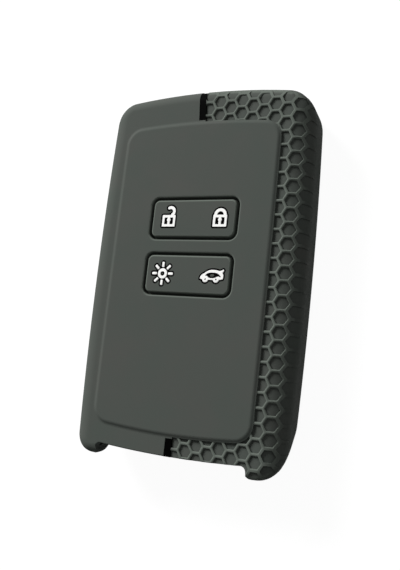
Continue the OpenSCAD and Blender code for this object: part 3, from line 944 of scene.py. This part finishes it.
# Pictograms
# Plain signs of white silicone, filled into recesses of the pads flush with their faces: two
# padlocks, a lamp and a car with its boot open, one over each button of the key.
LOCK_WIDTH = 3.2
LOCK_HEIGHT = 2.6
LOCK_STROKE = 0.68
LOCK_CORNER_R = 0.15
LOCK_WINDOW_HEIGHT = 1.5
LOCK_SIDE_WIDTH = 0.53
LOCK_RAISE = 0.13
SHACKLE_HEIGHT = 1.42
KEYHOLE_STEM = 0.58
KEYHOLE_R = 0.44

# The closed shackle stands in from the lock's sides, and the open one has swung up and round
SHACKLE_INSET = 0.16
OPEN_R = 1.22
OPEN_INSET = 0.1
OPEN_LIFT = 0.6
OPEN_START = math.radians(-75)
OPEN_END = math.radians(119)

# Lamp with its rays
LAMP_R = 1.13
LAMP_HOLE_R = 0.5
RAY_COUNT = 8
RAY_REACH = 2.55
RAY_GAP = 0.25
RAY_WIDTH = 0.56
RAY_CORNER_R = 0.2

# Car, with its outline and its window as shares of its length and height
CAR_LENGTH = 5.5
CAR_HEIGHT = 2.05
CAR_DROP = 0.2
WHEEL_R = 0.68
HUB_R = 0.18
HUB_DEPTH = 0.35
WHEEL_SHARES = (-0.26, 0.19)
BODY_SHARES = [
    (-0.48, -0.06), (-0.49, 0.2), (-0.42, 0.48), (-0.3, 0.64),
    (-0.18, 0.9), (0, 1), (0.21, 0.96), (0.31, 0.86),
    (0.41, 0.94), (0.46, 1.06), (0.5, 0.98), (0.49, 0.85),
    (0.43, 0.68), (0.48, 0.56), (0.49, 0.2), (0.45, -0.06),
]
WINDOW_SHARES = [
    (-0.3, 0.36), (-0.16, 0.7), (0.2, 0.7), (0.34, 0.46), (0.41, 0.2),
    (0.27, 0.34), (0.12, 0.12), (-0.12, 0.12), (-0.19, 0.34),
]

# Gap round a sign, the softness of its upper edge, and steps round its curves
ICON_GAP = 0.36
ICON_SOFT = 0.05
SOFT_STEPS = 3
DISC_STEPS = 32
SHACKLE_STEPS = 24
TIP_STEPS = 8

# The least that an edge may shrink to when its outline widens, and what is cut off at a corner
LEAST_KEPT_SHARE = 0.3
CUT_SHARE = 0.25

closed_shackle_r = LOCK_WIDTH / 2 - SHACKLE_INSET
lock_base = LOCK_RAISE - (LOCK_HEIGHT + SHACKLE_HEIGHT) / 2
lock_top = lock_base + LOCK_HEIGHT


def prism(name, plan, low, high, soft=0.0):
    """A straight piece with this plan, whose upper edge may be softened."""
    plan = np.array(plan, float)
    if not soft:
        return loft(name, [plan, plan], [low, high])
    depths = [soft * (1 - math.cos(turn)) for turn in reversed(quarter(SOFT_STEPS))]
    rings = [grown(plan, -rounded_in(soft, depth)) for depth in depths]
    return loft(name, [plan] + rings, [low] + [high - depth for depth in depths])


def joined(name, plans, low, high, soft=0.0):
    """One solid from several plans."""
    whole = None
    for plan in plans:
        part = prism(name, plan, low, high, soft)
        whole = carve(whole, part, "UNION") if whole else part
    return whole


def widened(points, distance):
    """A closed outline moved out by a distance, without loops in its tight hollows."""
    points = np.array(points, float)
    while True:
        moved = grown(points, distance)
        run = np.roll(moved, -1, axis=0) - moved
        was = np.roll(points, -1, axis=0) - points
        kept = (run * was).sum(axis=1) / (was**2).sum(axis=1)
        if kept.min() > LEAST_KEPT_SHARE:
            return moved
        here = int(np.argmin(kept))
        after = (here + 1) % len(points)
        points[here] = (points[here] + points[after]) / 2
        points = np.delete(points, after, axis=0)


def softened(points, rounds=1):
    """A closed outline with its corners cut back, once or more."""
    points = np.array(points, float)
    for _ in range(rounds):
        ahead = np.roll(points, -1, axis=0)
        before = points * (1 - CUT_SHARE) + ahead * CUT_SHARE
        after = points * CUT_SHARE + ahead * (1 - CUT_SHARE)
        points = np.stack([before, after], axis=1).reshape(-1, 2)
    return points


def against_clock(points):
    """The same closed outline, drawn against the clock."""
    points = np.array(points, float)
    ahead = np.roll(points, -1, axis=0)
    area = (points[:, 0] * ahead[:, 1] - ahead[:, 0] * points[:, 1]).sum()
    return points if area > 0 else points[::-1]


def disc(radius):
    """A round plan about the middle."""
    return np.array(arc(np.zeros(2), radius, 0, 2 * math.pi, DISC_STEPS))


def padlock(is_open):
    """Plans of a padlock: solids, holes, parts put back in them, and no islands or dimples."""
    middle = np.array([0, (lock_base + lock_top) / 2])
    body = rounded_rect(LOCK_WIDTH, LOCK_HEIGHT, LOCK_CORNER_R) + middle
    window_width = LOCK_WIDTH - 2 * LOCK_SIDE_WIDTH
    window = rounded_rect(window_width, LOCK_WINDOW_HEIGHT, LOCK_CORNER_R) + middle
    stem = rounded_rect(KEYHOLE_STEM, LOCK_HEIGHT - LOCK_STROKE, LOCK_CORNER_R) + middle
    bulb = disc(KEYHOLE_R) + middle + np.array([0, KEYHOLE_R / 2])
    if is_open:
        radius = OPEN_R
        start = OPEN_START
        end = OPEN_END
        height = SHACKLE_HEIGHT + OPEN_LIFT - radius
        centre = np.array([LOCK_WIDTH / 2 - OPEN_INSET - radius, lock_top + height])
    else:
        radius = closed_shackle_r
        start = 0
        end = math.pi
        height = SHACKLE_HEIGHT - radius
        centre = np.array([0, lock_top + height])
    inner_r = radius - LOCK_STROKE
    tip = np.array([math.cos(end), math.sin(end)])
    foot = np.array([math.cos(start), math.sin(start)])
    leg = np.array([0, -height - LOCK_STROKE / 2])
    arch = arc(np.zeros(2), radius, start, end, SHACKLE_STEPS)
    if is_open:
        tip_c = tip * (radius + inner_r) / 2
        arch += arc(tip_c, LOCK_STROKE / 2, end, end + math.pi, TIP_STEPS)
    else:
        arch += [tip * radius, tip * radius + leg, tip * inner_r + leg]
    arch += arc(np.zeros(2), inner_r, end, start, SHACKLE_STEPS)
    arch.append(foot * inner_r)
    if not is_open:
        arch += [foot * inner_r + leg, foot * radius + leg]
    return [body, against_clock(arch) + centre], [window], [stem, bulb], [], []


def lamp():
    """Plans of a lamp: a disc and its rays, a hole, and an island of the pad in the hole."""
    length = RAY_REACH - LAMP_R - RAY_GAP
    ray = rounded_rect(length, RAY_WIDTH, RAY_CORNER_R) + np.array([RAY_REACH - length / 2, 0])
    rays = []
    for i in range(RAY_COUNT):
        turn = 2 * math.pi * i / RAY_COUNT
        spin = np.array([[math.cos(turn), math.sin(turn)], [-math.sin(turn), math.cos(turn)]])
        rays.append(ray @ spin)
    return [disc(LAMP_R)] + rays, [disc(LAMP_HOLE_R)], [], [disc(LAMP_HOLE_R - ICON_GAP)], []


def open_boot():
    """Plans of a car: body and wheels, its window, an island in the window, and the hubs."""
    size = np.array([CAR_LENGTH, CAR_HEIGHT])
    axles = np.array([0, -(CAR_HEIGHT - WHEEL_R) / 2 - CAR_DROP])
    body = softened(against_clock(np.array(BODY_SHARES) * size), rounds=2) + axles
    window = softened(against_clock(np.array(WINDOW_SHARES) * size)) + axles
    wheels = [disc(WHEEL_R) + axles + np.array([CAR_LENGTH * share, 0]) for share in WHEEL_SHARES]
    hubs = [disc(HUB_R) + axles + np.array([CAR_LENGTH * share, 0]) for share in WHEEL_SHARES]
    return [body] + wheels, [window], [], [widened(window, -ICON_GAP)], hubs


# Four buttons
# Each button is half of a pad with half of its web. A recess in the pad holds the white sign, and
# a black sheet up to just under the face is painted shade in the gap round the sign. Nothing but
# the bond between the silicones holds them.
RECESS_DEPTH = 0.9
# Depth under the face of the black sheet that paints the shade in the gap round each sign
GAP_SHADE_DEPTH = 0.12
LEFT_ICON_OFFSET = 5.9
LOCK_OFFSET = 6.4
BOOT_OFFSET = 5.9
recess_floor = TOTAL_HEIGHT - RECESS_DEPTH
above = TOTAL_HEIGHT + OVERRUN

# White silicone with a smooth even skin, a little glossier than the grained cover
white_silicone = silicone(
    "smooth_white_silicone", pigment="#f0f0ee", cloudy="#f6f6f4", roughness=0.5, gloss=0.2
)
for name, y, side, offset, plans in (
    ("unlock", UPPER_PAD_Y, -1, LEFT_ICON_OFFSET, padlock(True)),
    ("lock", UPPER_PAD_Y, 1, LOCK_OFFSET, padlock(False)),
    ("lights", LOWER_PAD_Y, -1, LEFT_ICON_OFFSET, lamp()),
    ("boot", LOWER_PAD_Y, 1, BOOT_OFFSET, open_boot()),
):
    place = np.array([PADS_RIGHT + side * offset, y])
    solids, holes, put_back, islands, dimples = plans
    pad = press_zone(name + "_pad", y, side)
    wide_plans = [widened(plan, ICON_GAP) + place for plan in solids]
    recess = joined("recess", wide_plans, recess_floor, above)
    for plan in islands:
        carve(recess, prism("island", plan + place, recess_floor - OVERRUN, above + OVERRUN))
    # A black sheet in the gap round the sign: painted shade where the recess is deep
    gap_shade = block(name + "_bed", (-FAR, -FAR, 0), (FAR, FAR, TOTAL_HEIGHT - GAP_SHADE_DEPTH))
    recess_copy = bpy.data.objects.new("recess_copy", recess.data.copy())
    bpy.context.scene.collection.objects.link(recess_copy)
    carve(gap_shade, recess_copy, "INTERSECT")
    carve(pad, recess)

    sign_plans = [plan + place for plan in solids]
    icon = joined("sign", sign_plans, recess_floor, TOTAL_HEIGHT, ICON_SOFT)
    for plan in holes:
        carve(icon, prism("hole", plan + place, recess_floor - OVERRUN, above))
    for plan in put_back:
        part = prism("part", plan + place, recess_floor, TOTAL_HEIGHT, ICON_SOFT)
        carve(icon, part, "UNION")
    for plan in dimples:
        carve(icon, prism("hub", plan + place, TOTAL_HEIGHT - HUB_DEPTH, above))
    icon.name = name + "_sign"

    # Painted highlight on the pad's round upper edge
    paint_highlight(pad, lip_highlight)
    finish_piece(pad, cover_silicone, None)
    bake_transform(pad)
    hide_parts(name + "_button")
    finish_piece(icon, white_silicone, name)
    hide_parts(name + "_icon")
    # The black sheet is painted shade in the gap, in the stripe's black silicone
    finish_piece(gap_shade, black_silicone_and_gap_shade, name)
    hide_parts(name + "_icon")
    web = web_half(name + "_membrane", y, side)
    finish_piece(web, cover_silicone, "cover")
    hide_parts(name + "_web")


# Floor, light and camera
# A plain matt white table under soft studio light from the upper left of the picture, with the
# camera at the photograph's viewing angle. Table and sky are white to the camera and in mirrors,
# and throw only a little light back on the cover.
TABLE_SIZE = 600.0
TABLE_GAP = 0.01
TABLE_LIGHTNESS = 0.1
TABLE_GLOW = 0.95

# Light of the sky on the cover, and how bright the camera and mirrors see it
SKY_STRENGTH = 0.2
SEEN_SKY_STRENGTH = 1.0

# Square lamps: the strong one at the upper left, and a weak one that opens the shadows
LAMP_DISTANCE = 1200.0
LAMP_SIZE = 500.0
KEY_TOWARDS = (-0.62, 0.62, 0.48)
KEY_POWER = 25.0
FILL_TOWARDS = (0.75, 0.55, 0.35)
FILL_POWER = 1.2

# Place of the camera, what is right and up in its picture, and its lens
CAMERA_PLACE = Vector((68.27, -22.49, 141.65)) * MM
CAMERA_RIGHT = Vector((0.89529, 0.10883, -0.432))
CAMERA_UP = Vector((-0.039, 0.98513, 0.16734))
CAMERA_LENS = 43.81
CAMERA_SENSOR = 36.0
CAMERA_NEAR = 10.0


def mirror_or_camera(tree):
    """One for rays from the camera or off a mirror or glass, and nothing for scattered light."""
    path = add(tree, "ShaderNodeLightPath")
    seen_or_mirrored = add(
        tree,
        "ShaderNodeMath",
        {"operation": "MAXIMUM"},
        {0: path.outputs["Is Camera Ray"], 1: path.outputs["Is Glossy Ray"]},
    )
    any_of_them = add(
        tree,
        "ShaderNodeMath",
        {"operation": "MAXIMUM"},
        {0: seen_or_mirrored.outputs[0], 1: path.outputs["Is Transmission Ray"]},
    )
    return any_of_them.outputs[0]


def grey(level):
    """A neutral colour of this linear level, with full alpha."""
    return (level, level, level, 1.0)


table_material = bpy.data.materials.new("white_table")
table_material.use_nodes = True
table = table_material.node_tree
table.nodes.clear()
matt = add(table, "ShaderNodeBsdfDiffuse", {"Color": grey(TABLE_LIGHTNESS)})
glow = add(
    table,
    "ShaderNodeEmission",
    {"Color": grey(TABLE_GLOW)},
    {"Strength": mirror_or_camera(table)},
)
both = add(table, "ShaderNodeAddShader", None, {0: matt.outputs[0], 1: glow.outputs[0]})
add(table, "ShaderNodeOutputMaterial", None, {"Surface": both.outputs[0]})
table_corners = [
    (x * TABLE_SIZE, y * TABLE_SIZE, 0) for x, y in ((-1, -1), (1, -1), (1, 1), (-1, 1))
]
floor = piece_from("floor", table_corners, [(0, 1, 2, 3)])
floor.location.z = -TABLE_GAP * MM
floor.data.materials.append(table_material)

world = bpy.data.worlds.new("studio")
bpy.context.scene.world = world
world.use_nodes = True
sky = world.node_tree
sky.nodes.clear()
lit = add(sky, "ShaderNodeBackground", {"Color": grey(1.0), "Strength": SKY_STRENGTH})
seen = add(sky, "ShaderNodeBackground", {"Color": grey(1.0), "Strength": SEEN_SKY_STRENGTH})
chosen = add(
    sky,
    "ShaderNodeMixShader",
    None,
    {0: mirror_or_camera(sky), 1: lit.outputs[0], 2: seen.outputs[0]},
)
add(sky, "ShaderNodeOutputWorld", None, {"Surface": chosen.outputs[0]})

camera = bpy.data.objects.new("camera", bpy.data.cameras.new("camera"))
bpy.context.scene.collection.objects.link(camera)
camera_back = CAMERA_RIGHT.cross(CAMERA_UP).normalized()
camera_up = camera_back.cross(CAMERA_RIGHT).normalized()
facing = Matrix((CAMERA_RIGHT.normalized(), camera_up, camera_back)).transposed()
camera.matrix_world = Matrix.Translation(CAMERA_PLACE) @ facing.to_4x4()
camera.data.lens = CAMERA_LENS
camera.data.sensor_width = CAMERA_SENSOR
camera.data.clip_start = CAMERA_NEAR * MM
bpy.context.scene.camera = camera


def soft_lamp(name, towards, power):
    """A square soft lamp that shines on the cover from a direction."""
    lamp_data = bpy.data.lights.new(name, "AREA")
    lamp_data.size = LAMP_SIZE * MM
    lamp_data.energy = power
    holder = bpy.data.objects.new(name, lamp_data)
    bpy.context.scene.collection.objects.link(holder)
    direction = Vector(towards).normalized()
    aim = direction.to_track_quat("Z", "Y").to_matrix().to_4x4()
    holder.matrix_world = Matrix.Translation(direction * (LAMP_DISTANCE * MM)) @ aim


soft_lamp("key_lamp", KEY_TOWARDS, KEY_POWER)
soft_lamp("fill_lamp", FILL_TOWARDS, FILL_POWER)

bpy.context.scene.view_settings.view_transform = "Standard"
